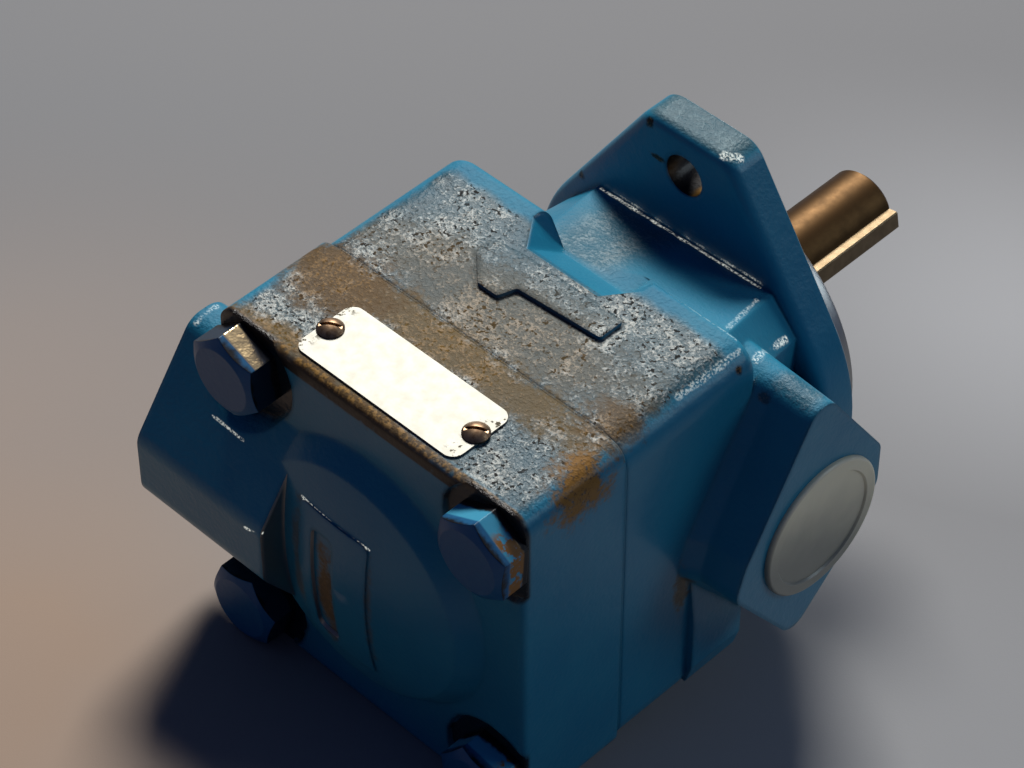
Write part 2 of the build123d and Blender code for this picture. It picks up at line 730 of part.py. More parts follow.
with BuildPart() as rotor:
    with BuildSketch(Plane.XZ.offset(cartridge_front + rotor_side_gap)):
        Circle(rotor_radius)
        Circle(spline_root_radius + slip, mode=Mode.SUBTRACT)
        with PolarLocations(spline_tooth_radius / 2, spline_teeth):
            Rectangle(spline_tooth_radius + 2 * slip, spline_tooth_width + 2 * slip, mode=Mode.SUBTRACT)
        # slots for the vanes, each ending in a round hole that feeds oil under the vane
        with PolarLocations(rotor_radius, vane_count, start_angle=vane_start):
            Rectangle(2 * (rotor_radius - slot_floor), vane_thickness + 2 * slip, mode=Mode.SUBTRACT)
        with PolarLocations(slot_floor, vane_count, start_angle=vane_start):
            Circle(under_vane_radius, mode=Mode.SUBTRACT)
    extrude(amount=cam_width - 2 * rotor_side_gap)
rotor.part.label = "rotor"
export_step(rotor.part, "parts/rotor.step")

for number in range(vane_count):
    with BuildPart() as vane:
        with BuildSketch(Plane.XZ.offset(cartridge_front + rotor_side_gap)) as vane_outline:
            with PolarLocations(vane_tip - vane_height / 2, 1, start_angle=vane_start + number * vane_pitch):
                Rectangle(vane_height, vane_thickness)
            fillet(vane_outline.vertices().sort_by_distance((0, 0))[-2:], radius=vane_thickness / 3)
        extrude(amount=cam_width - 2 * rotor_side_gap)
    vane.part.label = f"vane_{number + 1:02d}"
    export_step(vane.part, f"parts/{vane.part.label}.step")

with BuildPart() as pressure_plate:
    with BuildSketch(Plane.XZ.offset(cam_rear)):
        Circle(cam_outer_radius)
    extrude(amount=plate_thick)
    with BuildSketch(Plane.XZ.offset(cam_rear)):
        Circle(plate_bore_radius)
    extrude(amount=plate_thick - plate_web, mode=Mode.SUBTRACT)
    with BuildSketch(Plane.XZ.offset(cam_rear)):
        for middle in outlet_kidneys:
            SlotArc(CenterArc((0, 0), kidney_radius, middle - kidney_sweep / 2, kidney_sweep), kidney_width)
    extrude(amount=plate_thick, mode=Mode.SUBTRACT)
    with BuildSketch(Plane.XZ.offset(cam_rear)):
        for middle in inlet_kidneys:
            SlotArc(CenterArc((0, 0), kidney_radius, middle - kidney_sweep / 2, kidney_sweep), kidney_width)
        with GridLocations(0, 2 * pin_offset, 1, 2):
            Circle(pin_radius + press)
    extrude(amount=pin_seat, mode=Mode.SUBTRACT)
    # groove for the seal ring in the rim
    with BuildSketch(Plane.XZ.offset(plate_rear - 2 * plate_ring_wire - 1)):
        Circle(cam_outer_radius)
        Circle(cartridge_radius - 2 * plate_ring_wire - slip, mode=Mode.SUBTRACT)
    extrude(amount=2 * plate_ring_wire + 2 * slip, mode=Mode.SUBTRACT)
pressure_plate.part.label = "pressure_plate"
export_step(pressure_plate.part, "parts/pressure_plate.step")

rear_bush = turned(journal_radius + slip, plate_bore_radius - press, cam_rear, plate_rear - plate_web)
rear_bush.label = "rear_bush"
export_step(rear_bush, "parts/rear_bush.step")

# conical washer that holds the plate against the cam ring
with BuildPart() as plate_spring:
    with BuildSketch(Plane.XY):
        with BuildLine():
            Polyline(
                (spring_inner_radius, -plate_rear), (spring_inner_radius, -plate_rear - spring_gauge),
                (spring_pocket_radius - slip, -plate_rear - spring_height),
                (spring_pocket_radius - slip, -plate_rear - spring_height + spring_gauge), close=True)
        make_face()
    revolve(axis=Axis.Y)
plate_spring.part.label = "plate_spring"
export_step(plate_spring.part, "parts/plate_spring.step")

cover_seal = round_ring(cover_ring_radius, cover_ring_wire - press, joint_depth + cover_ring_wire)
cover_seal.label = "cover_seal"
export_step(cover_seal, "parts/cover_seal.step")

plate_seal = round_ring(
    cartridge_radius - plate_ring_wire - press / 2, plate_ring_wire - press,
    plate_rear - plate_ring_wire - 1 + slip)
plate_seal.label = "plate_seal"
export_step(plate_seal, "parts/plate_seal.step")

with BuildPart() as locating_pins:
    with BuildSketch(Plane.XZ.offset(cartridge_front - pin_seat)):
        with GridLocations(0, 2 * pin_offset, 1, 2):
            Circle(pin_radius)
    extrude(amount=cam_width + 2 * pin_seat - slip)
locating_pins.part.label = "locating_pins"
export_step(locating_pins.part, "parts/locating_pins.step")
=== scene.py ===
# Hydraulic vane pump: finishes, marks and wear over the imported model, lengths in metres.
# +Y runs out along the shaft, +Z is the side with the nameplate and +X is the inlet side.
import math

import bpy
import numpy as np
from mathutils import Matrix, Vector


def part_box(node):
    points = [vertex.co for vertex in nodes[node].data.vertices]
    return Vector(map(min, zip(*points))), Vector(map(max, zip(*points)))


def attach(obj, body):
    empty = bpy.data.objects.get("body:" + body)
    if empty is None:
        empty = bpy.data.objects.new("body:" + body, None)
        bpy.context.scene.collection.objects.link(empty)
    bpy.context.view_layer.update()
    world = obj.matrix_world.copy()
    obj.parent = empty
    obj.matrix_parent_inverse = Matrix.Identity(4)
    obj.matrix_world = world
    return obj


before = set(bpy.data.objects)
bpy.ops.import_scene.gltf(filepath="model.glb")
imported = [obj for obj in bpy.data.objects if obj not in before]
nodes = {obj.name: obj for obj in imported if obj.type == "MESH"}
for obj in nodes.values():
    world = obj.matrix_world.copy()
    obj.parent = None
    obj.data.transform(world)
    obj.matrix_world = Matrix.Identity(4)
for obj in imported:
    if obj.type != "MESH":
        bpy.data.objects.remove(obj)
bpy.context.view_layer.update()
print("frame loaded:", len(nodes), "nodes")


class Sock:
    # one output socket; maths on it adds Math nodes
    def __init__(self, maker, out):
        self.maker = maker
        self.out = out

    def math(self, operation, *others, clamp=False):
        settings = {"operation": operation, "use_clamp": clamp}
        return self.maker.node("ShaderNodeMath", settings, (self,) + others)

    def __add__(self, other):
        return self.math("ADD", other)

    __radd__ = __add__

    def __mul__(self, other):
        return self.math("MULTIPLY", other)

    __rmul__ = __mul__

    def __sub__(self, other):
        return self.math("SUBTRACT", other)

    def __rsub__(self, other):
        return self.maker.node("ShaderNodeMath", {"operation": "SUBTRACT"}, (other, self))

    def most(self, other):
        return self.math("MAXIMUM", other)

    def size(self):
        return self.math("ABSOLUTE")

    def held(self):
        return self.math("ADD", 0.0, clamp=True)

    # 0 below low, 1 above high, with a soft change between
    def ramp(self, low, high):
        values = {"Value": self, "From Min": low, "From Max": high}
        return self.maker.node("ShaderNodeMapRange", {"interpolation_type": "SMOOTHSTEP"}, values)

    # 1 between low and high, with a soft edge on each side
    def band(self, low, high, edge):
        return self.ramp(low - edge, low + edge) * (1 - self.ramp(high - edge, high + edge))


class Maker:
    # builds one material's nodes
    def __init__(self, name):
        self.material = bpy.data.materials.new(name)
        self.material.use_nodes = True
        self.tree = self.material.node_tree
        self.shader = self.tree.nodes["Principled BSDF"]
        self.place = self.node("ShaderNodeTexCoord", {}, (), "Object")

    def feed(self, socket, value):
        if isinstance(value, Sock):
            self.tree.links.new(value.out, socket)
        elif socket.type == "RGBA" and len(value) == 3:
            socket.default_value = (*value, 1)
        else:
            socket.default_value = value

    def node(self, kind, settings, values=(), output=0):
        made = self.tree.nodes.new(kind)
        for key, value in settings.items():
            setattr(made, key, value)
        for key, value in (values.items() if isinstance(values, dict) else enumerate(values)):
            self.feed(made.inputs[key], value)
        return Sock(self, made.outputs[output])

    # fine or broad noise, 0 to 1; scale is in lumps per metre
    def noise(self, scale, detail=3.0, rough=0.5):
        values = {"Vector": self.place, "Scale": scale, "Detail": detail, "Roughness": rough}
        return self.node("ShaderNodeTexNoise", {}, values)

    def split(self, vector):
        parts = self.node("ShaderNodeSeparateXYZ", {}, (vector,))
        return [Sock(self, parts.out.node.outputs[i]) for i in range(3)]

    # the three coordinates of a place
    def axes(self):
        return self.split(self.place)

    # the three parts of the direction that the surface faces
    def facing(self):
        return self.split(self.node("ShaderNodeNewGeometry", {}, (), "Normal"))

    def vector(self, operation, values, output=0):
        return self.node("ShaderNodeVectorMath", {"operation": operation}, values, output)

    # distance from a place, 1 on an ellipsoid with these half sizes
    def fromSpot(self, centre, half):
        away = self.vector("SUBTRACT", (self.place, centre))
        return self.vector("LENGTH", (self.vector("DIVIDE", (away, half)),), 1)

    # distance from the line between two places
    def fromLine(self, start, end):
        along = Vector(end) - Vector(start)
        away = self.vector("SUBTRACT", (self.place, start))
        share = self.vector("DOT_PRODUCT", (away, along / along.length_squared), 1).held()
        foot = self.vector("SCALE", {0: tuple(along), 3: share})
        return self.vector("LENGTH", (self.vector("SUBTRACT", (away, foot)),), 1)

    # 1 inside a circle drawn round the point (a, b), with a soft edge between the two radii
    def disc(self, across, up, inner, outer):
        return 1 - (across * across + up * up).math("SQRT").ramp(inner, outer)

    # colour a where mask is 0 and b where it is 1
    def blend(self, mask, a, b):
        made = self.tree.nodes.new("ShaderNodeMix")
        made.data_type = "RGBA"
        self.feed(made.inputs["Factor"], mask)
        self.feed(made.inputs[6], a)
        self.feed(made.inputs[7], b)
        return Sock(self, made.outputs[2])

    # number a where mask is 0 and b where it is 1
    def between(self, mask, a, b):
        return mask * (b - a) + a

    def bump(self, height, distance, strength=1.0, normal=None):
        values = {"Height": height, "Distance": distance, "Strength": strength}
        if normal:
            values["Normal"] = normal
        return self.node("ShaderNodeBump", {}, values)

    def finish(self, **sockets):
        for key, value in sockets.items():
            self.feed(self.shader.inputs[key.replace("_", " ")], value)
        return self.material


def dress(material, *names):
    for name in names:
        mesh = nodes[name].data
        mesh.materials.clear()
        mesh.materials.append(material)


camera = {"place": (0.39997, -0.47348, 0.60939), "turn": (44.3873, 0.0163, 44.4719), "lens": 127.392}


def addCamera(facts):
    data = bpy.data.cameras.new("camera")
    data.lens = facts["lens"]
    data.sensor_width = 36
    data.clip_end = 20
    made = bpy.data.objects.new("camera", data)
    made.location = facts["place"]
    made.rotation_euler = [math.radians(angle) for angle in facts["turn"]]
    bpy.context.collection.objects.link(made)
    bpy.context.scene.camera = made


addCamera(camera)

# the two lower edges that the pump leans on, as depth and height, and the floor's colours; the warm and
# bright colours paint light on the floor
stand = {"earFoot": (-0.0105, -0.065), "coverFoot": (-0.1095, -0.0500), "reach": 3.0,
         "grey": (0.148, 0.150, 0.154), "warmLightTint": (0.290, 0.208, 0.150), "bright": (0.275, 0.280, 0.288)}


def addFloor(facts):
    (y0, z0), (y1, z1) = facts["earFoot"], facts["coverFoot"]
    slope = (z1 - z0) / (y1 - y0)
    far = facts["reach"]
    corners = [(-far, -far), (far, -far), (far, far), (-far, far)]
    mesh = bpy.data.meshes.new("floor")
    mesh.from_pydata([(x, y, z0 + slope * (y - y0)) for x, y in corners], [], [(0, 1, 2, 3)])
    floor = bpy.data.objects.new("floor", mesh)
    bpy.context.collection.objects.link(floor)
    m = Maker("floorPaper")
    x, y = m.axes()[:2]
    # painted light on the floor: a warm pool on the left and paler paper to the right and towards the near
    # side
    across = (x + y) * 0.707
    near = (x - y) * 0.707
    left = (1 - across.ramp(-0.17, -0.03)) * near.ramp(-0.16, 0.09)
    right = across.ramp(-0.03, 0.10) * near.band(-0.15, -0.02, 0.07)
    cloud = (m.noise(14.0, 2.0) - 0.5) * 0.5
    paintedFalloff = m.blend((near.ramp(-0.12, 0.10) * 0.55).most(right), facts["grey"], facts["bright"])
    paintedLightTint = m.blend((left + cloud * left).held(), paintedFalloff, facts["warmLightTint"])
    paper = m.bump(m.noise(2500.0, 2.0), 0.0001, 0.3)
    mesh.materials.append(m.finish(Base_Color=paintedLightTint, Roughness=0.8, Normal=paper))


addFloor(stand)

# the big lamp stands behind the pump, where the nameplate mirrors it to the eye
lamps = {
    "key": {"from": (-0.78, 0.84, 1.14), "size": 0.55, "watts": 40, "colour": (1.0, 0.97, 0.92)},
    "side": {"from": (1.25, 1.1, 0.9), "size": 0.8, "watts": 6, "colour": (0.80, 0.93, 1.0)},
}
lampAim = Vector((0, -0.05, 0))
room = {"colour": (0.24, 0.38, 1.0, 1), "strength": 0.125}


def addLamp(name, facts):
    data = bpy.data.lights.new(name, "AREA")
    data.size = facts["size"]
    data.energy = facts["watts"]
    data.color = facts["colour"]
    lamp = bpy.data.objects.new(name, data)
    place = Vector(facts["from"])
    turn = (lampAim - place).to_track_quat("-Z", "Y").to_matrix().to_4x4()
    lamp.matrix_world = Matrix.Translation(place) @ turn
    bpy.context.collection.objects.link(lamp)


for name, facts in lamps.items():
    addLamp(name, facts)
world = bpy.data.worlds.new("room")
bpy.context.scene.world = world
world.use_nodes = True
background = world.node_tree.nodes["Background"]
background.inputs["Color"].default_value = room["colour"]
background.inputs["Strength"].default_value = room["strength"]
bpy.context.scene.view_settings.view_transform = "Standard"
print("camera, floor and lamps set")

# enamel on the castings; boltAt is the distance of the cover bolts from the axis, across and up
enamel = {
    "blue": (0.012, 0.155, 0.255),
    "blueThin": (0.020, 0.195, 0.29),
    "teal": (0.008, 0.030, 0.036),
    "silver": (0.160, 0.158, 0.142),
    "arrow": (0.028, 0.055, 0.052),
    "grit": (0.008, 0.008, 0.007),
    "stain": (0.120, 0.068, 0.007),
    "amber": (0.200, 0.095, 0.013),
    "rust": (0.085, 0.042, 0.005),
    "gold": (0.26, 0.135, 0.022),
    "paintedHighlight": (0.72, 0.74, 0.66),
    "holeAt": 0.0532,
    "grimeAndShade": (0.004, 0.004, 0.005),
    "iron": (0.36, 0.36, 0.35),
    "boltAt": 0.0384,
    "coverBack": -0.1113,
}

# soft ranges of where upward faces are worn: low and high end, or low, high and edge
wear = {
    "up": (0.60, 0.97), "ragged": 0.004, "left": (-0.0445, -0.0410), "right": (0.0425, 0.0455),
    "rear": (-0.1105, -0.1075), "front": (-0.0455, -0.0420), "topHeight": (0.0480, 0.0496),
    "earHeight": (0.0600, 0.0635), "earUp": (0.8, 0.97),
    "neckAlong": (-0.0370, -0.0125, 0.002), "neckAcross": (-0.0200, 0.0010, 0.005),
    "neckHeight": (0.029, 0.033),
    "bossAlong": (-0.0420, -0.0230, 0.003), "bossAcross": (0.0500, 0.0610, 0.002),
    "bossHeight": (0.034, 0.037),
    "arrowHeight": (0.0512, 0.0516), "arrowUp": (0.7, 0.9),
}

# faces machined after painting: soft ranges of radius and place
machined = {
    "mountingFace": (-0.0004, -0.0001), "boreReach": (0.0410, 0.0420),
    "insideRadius": (0.0250, 0.0255), "insideDepth": (-0.1000, -0.0990),
    "outletDepth": -0.1035, "outletRadius": (0.0097, 0.0098),
    "outletFloor": (-0.0210, -0.0200), "outletMouth": (-0.0614, -0.0612),
    "inletDepth": -0.0311, "inletRadius": (0.0174, 0.0175),
    "inletFloor": (0.0300, 0.0310), "inletMouth": (0.0624, 0.0626),
}

# each stain: centre and half sizes in metres, strength, and which colour it takes
stains = [
    {"at": (0.0000, -0.0850, 0.0503), "half": (0.0560, 0.0072, 0.0040), "strength": 0.75, "colour": "stain"},
    {"at": (0.0000, -0.0700, 0.0503), "half": (0.0480, 0.0150, 0.0040), "strength": 0.4, "colour": "stain"},
    {"at": (-0.0360, -0.0870, 0.0503), "half": (0.0200, 0.0120, 0.0040), "strength": 0.85, "colour": "rust"},
    {"at": (-0.0200, -0.1090, 0.0503), "half": (0.0400, 0.0050, 0.0040), "strength": 0.80, "colour": "stain"},
    {"at": (0.0420, -0.0765, 0.0503), "half": (0.0100, 0.0080, 0.0040), "strength": 0.70, "colour": "rust"},
    {"at": (0.0450, -0.0930, 0.0460), "half": (0.0065, 0.0105, 0.0085), "strength": 1.0, "colour": "amber",
     "with": "grimeAndShade", "flecks": 0.75},
    {"at": (0.0475, -0.0600, -0.0110), "half": (0.0030, 0.0030, 0.0080), "strength": 0.8, "colour": "stain"},
    {"at": (-0.0060, -0.1195, -0.0050), "half": (0.0034, 0.0030, 0.0170), "strength": 0.9, "colour": "stain"},
    {"at": (-0.0150, -0.1185, 0.0000), "half": (0.0022, 0.0030, 0.0200), "strength": 0.5, "colour": "stain"},
    {"at": (0.0085, -0.1185, 0.0020), "half": (0.0014, 0.0030, 0.0170), "strength": 0.5, "colour": "stain"},
    {"at": (-0.0110, -0.0104, 0.0628), "half": (0.0013, 0.0010, 0.0017), "strength": 1.0, "colour": "grimeAndShade"},
    {"at": (-0.0080, -0.0105, 0.0537), "half": (0.0026, 0.0010, 0.0010), "strength": 1.0, "colour": "grimeAndShade"},
    {"at": (-0.0323, -0.0104, 0.0330), "half": (0.0014, 0.0010, 0.0014), "strength": 0.8, "colour": "grimeAndShade"},
    {"at": (0.0463, -0.0427, 0.0466), "half": (0.0016, 0.0016, 0.0014), "strength": 1.0, "colour": "grimeAndShade"},
    {"at": (0.0500, -0.0380, 0.0372), "half": (0.0016, 0.0016, 0.0014), "strength": 0.6, "colour": "grimeAndShade"},
]

# painted highlights: thin lines along creases and corners that glow through the emission, standing in for
# light caught by the film
paintedHighlights = [
    {"from": (-0.0246, -0.0112, 0.0344), "to": (0.0249, -0.0112, 0.0360), "radius": 0.0007, "strength": 0.8},
    {"from": (0.0288, -0.0167, 0.0378), "to": (0.0348, -0.0335, 0.0450), "radius": 0.0007, "strength": 0.5},
    {"from": (0.0433, -0.0331, 0.0407), "to": (0.0364, -0.0147, 0.0293), "radius": 0.0012, "strength": 1.0},
    {"from": (0.0201, -0.0380, 0.0500), "to": (0.0416, -0.0385, 0.0498), "radius": 0.0005, "strength": 0.5},
    {"from": (0.0440, -0.0600, 0.0492), "to": (0.0440, -0.0400, 0.0490), "radius": 0.0010, "strength": 0.45},
    {"from": (-0.0139, -0.1185, 0.0187), "to": (0.0080, -0.1190, 0.0187), "radius": 0.0005, "strength": 0.9},
    {"from": (-0.0250, -0.1262, 0.0060), "to": (-0.0200, -0.1255, 0.0075), "radius": 0.0005, "strength": 1.0},
    {"from": (-0.0447, -0.1169, 0.0210), "to": (-0.0345, -0.1172, 0.0207), "radius": 0.0004, "strength": 0.7},
    {"from": (-0.0598, -0.1070, 0.0330), "to": (-0.0600, -0.1010, 0.0337), "radius": 0.0009, "strength": 0.7},
    {"from": (0.0100, -0.0085, 0.0645), "to": (0.0127, -0.0062, 0.0640), "radius": 0.0012, "strength": 1.0},
]


def paintedIron(facts, wear, machined, stains, paintedHighlights):
    m = Maker("enamelOnIron")
    x, y, z = m.axes()
    nx, ny, nz = m.facing()
    fine = m.noise(1900.0, 2.0, 0.6)
    grain = m.noise(900.0, 2.0, 0.6)
    patch = m.noise(170.0, 2.0, 0.6)
    broad = m.noise(45.0, 2.0, 0.6)

    # upward faces are worn to a sparkling grey, most on the block's top, the ear's end and the neck
    up = nz.ramp(*wear["up"])
    ragged = (patch - 0.5) * wear["ragged"]
    inset = (1 - (x + ragged).ramp(*wear["right"])) * (x + ragged).ramp(*wear["left"])
    inset = inset * (1 - (y + ragged).ramp(*wear["front"])) * y.ramp(*wear["rear"])
    top = up * z.ramp(*wear["topHeight"]) * inset
    ear = up * z.ramp(*wear["earHeight"]) * nz.ramp(*wear["earUp"])
    neck = up * y.band(*wear["neckAlong"]) * x.band(*wear["neckAcross"]) * z.ramp(*wear["neckHeight"])
    boss = up * x.band(*wear["bossAcross"]) * y.band(*wear["bossAlong"]) * z.ramp(*wear["bossHeight"])
    places = top.most(boss * 0.6).most(ear * 0.55).most(neck * 0.65)
    worn = (places * (0.35 + broad * 0.6 + patch * 0.55)).held()
    shine = grain * 0.45 + fine * 0.55 + (patch - 0.5) * 0.35 + (broad - 0.5) * 0.3
    shine = shine.ramp(0.46, 0.63)
    colour = m.blend(broad.ramp(0.3, 0.7) * 0.5, facts["blue"], facts["blueThin"])
    colour = m.blend(worn * 0.92, colour, m.blend(shine, facts["teal"], facts["silver"]))

    # painted highlights: broken glowing lines along creases and corners
    highlightLines = []
    for paintedHighlight in paintedHighlights:
        reach = paintedHighlight["radius"]
        away = m.fromLine(paintedHighlight["from"], paintedHighlight["to"]) + (patch - 0.5) * reach * 1.5
        highlightLines.append((1 - away.ramp(reach * 0.5, reach * 1.2)) * paintedHighlight["strength"])
    paintedHighlightMask = highlightLines[0]
    for line in highlightLines[1:]:
        paintedHighlightMask = paintedHighlightMask.most(line)
    paintedHighlightMask = paintedHighlightMask * fine.ramp(0.40, 0.62)

    # the arrow's face keeps more of its paint
    arrow = z.ramp(*wear["arrowHeight"]) * nz.ramp(*wear["arrowUp"])
    colour = m.blend(arrow * 0.45, colour, facts["arrow"])
    crowd = 0.30 + 1.3 * (broad + patch * 0.4).ramp(0.55, 0.85)
    specks = m.noise(980.0, 2.0, 0.5).ramp(0.600, 0.635) * top * crowd
    colour = m.blend(specks.held() * 0.95, colour, facts["grit"])

    # stains are dull, with flecks of a second colour
    rough = m.between(worn, m.between(nz.ramp(0.7, 0.95), 0.36, 0.62), 0.42)
    metal = worn * shine * 0.25
    dirt = specks.held()
    torn = (grain - 0.5) * 0.9 + (patch - 0.5) * 1.6
    for stain in stains:
        mask = 1 - (m.fromSpot(stain["at"], stain["half"]) + torn).ramp(0.45, 1.2)
        mask = mask * stain["strength"]
        flecks = (shine * stain.get("flecks", 0.55)).held()
        spots = m.blend(flecks, facts[stain["colour"]], facts[stain.get("with", "gold")])
        colour = m.blend(mask, colour, spots)
        dirt = dirt.most(mask * 0.55)
    metal = metal * (1 - dirt)
    rough = m.between(dirt, rough, 0.85)

    # gold and black line where the paint has gone from the cover's rear top edge
    back = facts["coverBack"]
    edge = y.band(back, back + 0.0024, 0.0004) * z.ramp(0.0478, 0.0488) * (1 - x.ramp(0.044, 0.047))
    rusted = m.blend(grain.ramp(0.45, 0.6), facts["rust"], facts["gold"])
    colour = m.blend(edge * patch.ramp(0.35, 0.5) * 0.9, colour, rusted)

    # the mounting hole: painted shade on the wall towards -X, bare gold metal on the wall towards +X
    hole = m.disc(x, z.size() - facts["holeAt"], 0.0060, 0.0062) * y.band(-0.0101, -0.0005, 0.0001)
    holeShadeAndBare = m.blend((x + (patch - 0.5) * 0.003).ramp(0.0005, 0.0025), facts["grimeAndShade"], facts["gold"])
    colour = m.blend(hole, colour, holeShadeAndBare)
    black = y.band(back - 0.002, back + 0.0006, 0.0004) * z.band(0.0462, 0.0494, 0.0004)
    black = black * (1 - x.ramp(0.030, 0.046)) * patch.ramp(0.3, 0.45)
    colour = m.blend(black, colour, facts["grimeAndShade"])

    # black grease round the bolts
    across = x.size() - facts["boltAt"]
    above = z.size() - facts["boltAt"]
    fromBolt = (across * across + above * above).math("SQRT")
    ring = 1 - (fromBolt + (patch - 0.5) * 0.004).ramp(0.0138, 0.0158)
    ring = ring * (1 - y.ramp(-0.1098, -0.1085))
    colour = m.blend(ring * 0.95, colour, facts["grimeAndShade"])
    rough = m.between(ring, rough, 0.25)
    metal = metal * (1 - ring)

    # mounting face, spigot, bores and the walls of both ports
    fromAxis = (x * x + z * z).math("SQRT")
    inward = 1 - (nx * x + nz * z).ramp(-0.002, 0.0)
    inward = inward * (1 - fromAxis.ramp(*machined["boreReach"]))
    inside = (1 - fromAxis.ramp(*machined["insideRadius"])) * y.ramp(*machined["insideDepth"])
    outlet = m.disc(y - machined["outletDepth"], z, *machined["outletRadius"])
    outlet = outlet * (1 - x.ramp(*machined["outletFloor"])) * x.ramp(*machined["outletMouth"])
    inlet = m.disc(y - machined["inletDepth"], z, *machined["inletRadius"])
    inlet = inlet * x.ramp(*machined["inletFloor"]) * (1 - x.ramp(*machined["inletMouth"]))
    bare = y.ramp(*machined["mountingFace"]).most(inward).most(inside).most(outlet).most(inlet)
    colour = m.blend(bare, colour, facts["iron"])
    metal = metal.most(bare)

    soft = m.node("ShaderNodeBevel", {"samples": 3}, {"Radius": 0.0018})
    height = grain * m.between(up, 0.30, 1.0) + fine * m.between(up, 0.05, 0.35) + patch * 0.6
    # the painted highlights glow through the emission
    return m.finish(
        Base_Color=colour, Roughness=rough, Metallic=metal, Specular_IOR_Level=0.22,
        Normal=m.bump(height, 0.00045, m.between(bare, 0.6, 0.03), soft),
        Coat_Weight=(1 - worn) * (1 - bare) * (1 - up) * 0.15, Coat_Roughness=0.15,
        Emission_Color=m.blend(paintedHighlightMask, (0.0, 0.0, 0.0), facts["paintedHighlight"]), Emission_Strength=0.9)


paint = paintedIron(enamel, wear, machined, stains, paintedHighlights)
dress(paint, "body", "cover")

# paint that bridges the joint: a low strip round the block, just under its faces
bridge = {"depth": 0.0797, "halfWidth": 0.04742, "top": 0.05022, "bottom": 0.04992, "corner": 0.0081,
          "reach": 0.0005, "rise": 0.0009, "steps": 96}


def addBridge(facts, material):
    turn = np.linspace(0, 2 * np.pi, facts["steps"], endpoint=False) + np.pi / 4
    r = facts["corner"]
    quarterX = np.sign(np.cos(turn)) * (facts["halfWidth"] - r)
    quarterZ = np.where(np.sin(turn) > 0, facts["top"] - r, -(facts["bottom"] - r))
    reach, rise = facts["reach"], facts["rise"]
    profile = [(-reach, -rise), (-reach * 0.8, 0.0), (reach * 0.8, 0.0), (reach, -rise)]
    rings = []
    for along, out in profile:
        x = quarterX + (r + out) * np.cos(turn)
        z = quarterZ + (r + out) * np.sin(turn)
        rings.append(np.stack([x, np.full_like(x, along - facts["depth"]), z], axis=1))
    points = np.concatenate(rings)
    count = len(turn)
    faces = []
    for low in range(0, count * (len(profile) - 1), count):
        for i in range(count):
            j = (i + 1) % count
            faces.append((low + i, low + j, low + count + j, low + count + i))
    mesh = bpy.data.meshes.new("paint_bridge")
    mesh.from_pydata(points.tolist(), [], faces)
    mesh.materials.append(material)
    made = bpy.data.objects.new("paint_bridge", mesh)
    bpy.context.collection.objects.link(made)
    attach(made, "housing")


addBridge(bridge, paint)
print("castings painted")

# cover bolts: painted steel, greasy, chipped where a spanner sat; their hex faces also carry painted
# highlights and painted shade by the way they face
boltFinish = {
    "paint": (0.010, 0.085, 0.200), "paintLight": (0.018, 0.110, 0.220), "paintedLitBlue": (0.06, 0.33, 0.48),
    "bright": (0.80, 0.60, 0.32), "rust": (0.22, 0.095, 0.018), "grimeAndShade": (0.006, 0.006, 0.007),
    "front": -0.1189,
}


def boltSteel(facts):
    m = Maker("boltPaintOnSteel")
    x, y, z = m.axes()
    nx, ny, nz = m.facing()
    grain = m.noise(520.0, 3.0, 0.6)
    chips = m.noise(260.0, 3.0, 0.65)
    left = 1 - x.ramp(-0.001, 0.001)
    front = facts["front"]
    side = ny.size().math("LESS_THAN", 0.25)
    facing = (nx * 0.45 + nz * 0.89).ramp(0.75, 0.93) * side * z.ramp(0.0, 0.001)
    middle = y.band(front + 0.0030, front + 0.0072, 0.0003)
    # the left bolts' upward facet is bare gold steel with a painted highlight; the right bolts get chips on
    # their outer side
    bright = facing * middle * (left.most(chips.ramp(0.50, 0.60) * x.ramp(0.043, 0.046)))
    # painted light: the right bolts' upward facets take a lighter blue
    paintedLitBlue = (nx.size() * 0.5 + nz).ramp(0.2, 0.6) * side * middle * (1 - left)
    grimeAndShade = side * (1 - (y + (chips - 0.5) * 0.004).ramp(front + 0.001, front + 0.0028))
    grimeAndShade = grimeAndShade.most(side * (y + (chips - 0.5) * 0.003).ramp(front + 0.0062, front + 0.0072))
    rust = side * middle * (1 - left) * x.ramp(0.0415, 0.0440) * chips.ramp(0.44, 0.52)

    colour = m.blend(grain.ramp(0.3, 0.7) * 0.4, facts["paint"], facts["paintLight"])
    colour = m.blend(paintedLitBlue * 0.8, colour, facts["paintedLitBlue"])
    # painted shade: the left bolts' other side faces take the dark colour, along with the grime at both ends
    # of the head
    colour = m.blend(grimeAndShade.most(side * (1 - facing) * left * 0.85), colour, facts["grimeAndShade"])
    colour = m.blend(bright, colour, facts["bright"])
    colour = m.blend(rust, colour, facts["rust"])
    bright = bright * (1 - rust)
    soft = m.node("ShaderNodeBevel", {"samples": 6}, {"Radius": 0.0005})
    return m.finish(
        Base_Color=colour, Metallic=bright, Roughness=m.between(bright, 0.36, 0.3), Specular_IOR_Level=0.22,
        Normal=m.bump(chips * bright + grain * 0.4, 0.0003, 0.5, soft))


dress(boltSteel(boltFinish), "cover_bolts")

# mottled metal or rubber between two colours
def plainMetal(name, facts):
    m = Maker(name)
    mottle = m.noise(facts.get("scale", 300.0), 3.0, 0.6)
    roughness = facts["roughness"]
    return m.finish(
        Base_Color=m.blend(mottle.ramp(0.3, 0.75), facts["colour"], facts["dark"]),
        Metallic=facts.get("metallic", 1.0), Roughness=m.between(mottle, roughness * 0.8, roughness * 1.25),
        Normal=m.bump(mottle, 0.0001, facts.get("bump", 0.3)))


def dressAll(metals):
    for name, facts in metals.items():
        dress(plainMetal(name, facts), *facts["pieces"])


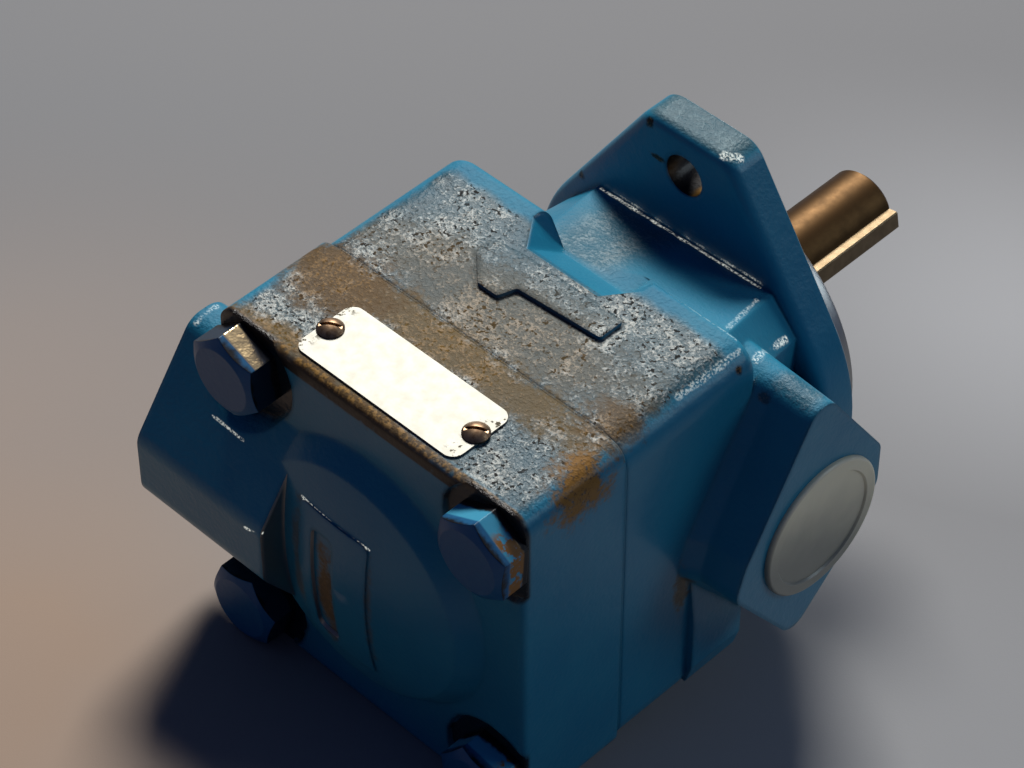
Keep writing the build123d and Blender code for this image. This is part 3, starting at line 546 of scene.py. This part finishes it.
plateFinish = {"bright": (0.335, 0.330, 0.300), "dull": (0.285, 0.280, 0.245), "mark": (0.035, 0.030, 0.020),
               "end": 0.0055}


# bare plate, marked at both ends
def plateAluminium(facts):
    m = Maker("plateAluminium")
    x = m.axes()[0]
    lowest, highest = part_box("nameplate")
    end = facts["end"]
    mottle = m.noise(350.0, 3.0, 0.6)
    flake = m.noise(600.0, 3.0, 0.65)
    ends = x.ramp(highest.x - end, highest.x - end * 0.3)
    ends = ends.most(1 - x.ramp(lowest.x + end * 0.2, lowest.x + end * 0.7))
    marks = ends * flake.ramp(0.54, 0.60)
    colour = m.blend(mottle.ramp(0.3, 0.75), facts["bright"], facts["dull"])
    colour = m.blend(marks, colour, facts["mark"])
    return m.finish(Base_Color=colour, Metallic=1.0, Roughness=0.6, Normal=m.bump(mottle, 0.0001, 0.12))


dress(plateAluminium(plateFinish), "nameplate")
outsideMetals = {
    "screwSteel": {"colour": (0.30, 0.20, 0.12), "dark": (0.12, 0.07, 0.04), "roughness": 0.42,
                   "scale": 900.0, "pieces": ["nameplate_screws"]},
    "oiledShaft": {"colour": (0.072, 0.038, 0.013), "dark": (0.055, 0.029, 0.010), "roughness": 0.48,
                   "scale": 260.0, "metallic": 0.9, "bump": 0.05, "pieces": ["shaft"]},
    "keySteel": {"colour": (0.17, 0.125, 0.075), "dark": (0.13, 0.095, 0.055), "roughness": 0.38,
                 "scale": 400.0, "pieces": ["shaft_key"]},
}
dressAll(outsideMetals)

cap = {"light": (0.72, 0.65, 0.45), "shaded": (0.20, 0.20, 0.16), "fade": (-0.022, 0.006)}


def capPlastic(facts):
    m = Maker("capPlastic")
    cloud = m.noise(70.0, 3.0, 0.5)
    y, z = m.axes()[1:]
    # painted shade: the cap takes the shaded colour towards its lower side
    low = 1 - (z + y * 0.35 + (cloud - 0.5) * 0.012).ramp(*facts["fade"])
    return m.finish(
        Base_Color=m.blend(low, facts["light"], facts["shaded"]), Roughness=m.between(cloud, 0.28, 0.4),
        Normal=m.bump(cloud, 0.0006, 0.4), Subsurface_Weight=0.35,
        Subsurface_Radius=(0.004, 0.004, 0.003), Subsurface_Scale=1.0)


dress(capPlastic(cap), "inlet_cap")
print("outside pieces finished")

vanes = [name for name in nodes if name.startswith("vane_")]
insideMetals = {
    "bearingSteel": {"colour": (0.62, 0.62, 0.61), "dark": (0.54, 0.54, 0.53), "roughness": 0.18,
                     "pieces": ["bearing_outer_race", "bearing_inner_race", "bearing_balls"]},
    "cageBrass": {"colour": (0.70, 0.52, 0.24), "dark": (0.58, 0.42, 0.18), "roughness": 0.3,
                  "pieces": ["bearing_cage"]},
    "springSteel": {"colour": (0.10, 0.10, 0.11), "dark": (0.06, 0.06, 0.065), "roughness": 0.35,
                    "pieces": ["bearing_retaining_ring", "shaft_retaining_ring", "plate_spring"]},
    "hardSteel": {"colour": (0.50, 0.50, 0.51), "dark": (0.42, 0.42, 0.43), "roughness": 0.2,
                  "pieces": ["cam_ring", "rotor", "locating_pins", *vanes]},
    "plateIron": {"colour": (0.33, 0.33, 0.33), "dark": (0.25, 0.25, 0.25), "roughness": 0.35,
                  "pieces": ["pressure_plate"]},
    "bushBronze": {"colour": (0.55, 0.36, 0.16), "dark": (0.42, 0.27, 0.12), "roughness": 0.3,
                   "pieces": ["rear_bush"]},
    "sealRubber": {"colour": (0.02, 0.02, 0.021), "dark": (0.035, 0.035, 0.035), "roughness": 0.6,
                   "scale": 500.0, "metallic": 0.0, "pieces": ["shaft_seal", "cover_seal", "plate_seal"]},
}
dressAll(insideMetals)
print("inner pieces finished")
